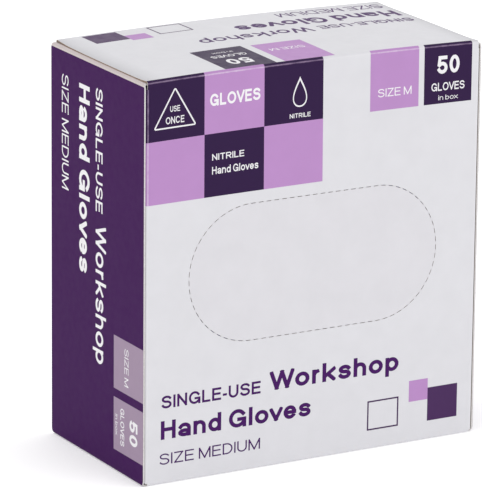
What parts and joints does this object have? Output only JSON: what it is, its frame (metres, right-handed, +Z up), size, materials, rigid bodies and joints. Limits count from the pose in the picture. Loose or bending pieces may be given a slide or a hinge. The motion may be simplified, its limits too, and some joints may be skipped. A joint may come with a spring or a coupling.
{
  "type": "glove box",
  "caption": "Paperboard carton of disposable gloves, with a perforated tear-out oval in its front and a tucked flap closing each end.",
  "frame": {"origin": "centre of the footprint, on the surface that the carton stands on", "axes": "+X along the front from the left end closure to the right one, the perforated front faces -Y, +Z up"},
  "size_m": [0.12, 0.062, 0.129],
  "materials": {
    "printed_board": "satin",
    "end_board": "satin",
    "tuck_board": "satin",
    "raw_board": "matte",
    "glue": "matte",
    "glove_film": "satin"
  },
  "bodies": {
    "sleeve": {"front_panel": "printed_board", "top_panel": "printed_board", "back_panel": "printed_board", "bottom_panel": "printed_board", "glue_flap": "raw_board", "seam_glue": "glue", "glove_pair_01": "glove_film", "glove_pair_02": "glove_film", "glove_pair_03": "glove_film", "glove_pair_04": "glove_film", "glove_pair_05": "glove_film", "glove_pair_06": "glove_film", "glove_pair_07": "glove_film", "glove_pair_08": "glove_film", "glove_pair_09": "glove_film", "glove_pair_10": "glove_film", "glove_pair_11": "glove_film", "glove_pair_12": "glove_film", "glove_pair_13": "glove_film", "glove_pair_14": "glove_film", "glove_pair_15": "glove_film", "glove_pair_16": "glove_film", "glove_pair_17": "glove_film", "glove_pair_18": "glove_film", "glove_pair_19": "glove_film", "glove_pair_20": "glove_film", "glove_pair_21": "glove_film", "glove_pair_22": "glove_film", "glove_pair_23": "glove_film", "glove_pair_24": "glove_film", "glove_pair_25": "glove_film"},
    "tear_out_cover": {"tear_out_cover": "printed_board"},
    "left_closure": {"left_closure": "end_board"},
    "left_tuck": {"left_tuck": "tuck_board"},
    "left_front_dust_flap": {"left_front_dust_flap": "printed_board"},
    "left_back_dust_flap": {"left_back_dust_flap": "printed_board"},
    "right_closure": {"right_closure": "end_board"},
    "right_tuck": {"right_tuck": "tuck_board"},
    "right_front_dust_flap": {"right_front_dust_flap": "printed_board"},
    "right_back_dust_flap": {"right_back_dust_flap": "printed_board"}
  },
  "joints": [
    {"name": "tear_out_slide", "type": "slide", "parent": "sleeve", "child": "tear_out_cover", "axis": [0, -1, 0], "range_m": [0, 0.06]},
    {"name": "left_closure_hinge", "type": "hinge", "parent": "sleeve", "child": "left_closure", "pos_m": [-0.06, 0, 0], "axis": [0, -1, 0], "range_deg": [0, 90]},
    {"name": "left_tuck_unfold", "type": "hinge", "parent": "left_closure", "child": "left_tuck", "pos_m": [-0.06, 0, 0.12845], "axis": [0, -1, 0], "range_deg": [0, 32]},
    {"name": "left_front_dust_hinge", "type": "hinge", "parent": "sleeve", "child": "left_front_dust_flap", "pos_m": [-0.05945, -0.031, 0.0635], "axis": [0, 0, 1], "range_deg": [0, 82]},
    {"name": "left_back_dust_hinge", "type": "hinge", "parent": "sleeve", "child": "left_back_dust_flap", "pos_m": [-0.05945, 0.031, 0.0635], "axis": [0, 0, -1], "range_deg": [0, 82]},
    {"name": "right_closure_hinge", "type": "hinge", "parent": "sleeve", "child": "right_closure", "pos_m": [0.06, 0, 0], "axis": [0, 1, 0], "range_deg": [0, 90]},
    {"name": "right_tuck_unfold", "type": "hinge", "parent": "right_closure", "child": "right_tuck", "pos_m": [0.06, 0, 0.12845], "axis": [0, 1, 0], "range_deg": [0, 32]},
    {"name": "right_front_dust_hinge", "type": "hinge", "parent": "sleeve", "child": "right_front_dust_flap", "pos_m": [0.05945, -0.031, 0.0635], "axis": [0, 0, -1], "range_deg": [0, 82]},
    {"name": "right_back_dust_hinge", "type": "hinge", "parent": "sleeve", "child": "right_back_dust_flap", "pos_m": [0.05945, 0.031, 0.0635], "axis": [0, 0, 1], "range_deg": [0, 82]}
  ],
  "couplings": [
    {"joint": "left_tuck_unfold", "follows": "left_closure_hinge", "ratio": 0.35},
    {"joint": "left_front_dust_hinge", "follows": "left_closure_hinge", "ratio": 0.9},
    {"joint": "left_back_dust_hinge", "follows": "left_closure_hinge", "ratio": 0.9},
    {"joint": "right_tuck_unfold", "follows": "right_closure_hinge", "ratio": 0.35},
    {"joint": "right_front_dust_hinge", "follows": "right_closure_hinge", "ratio": 0.9},
    {"joint": "right_back_dust_hinge", "follows": "right_closure_hinge", "ratio": 0.9}
  ]
}
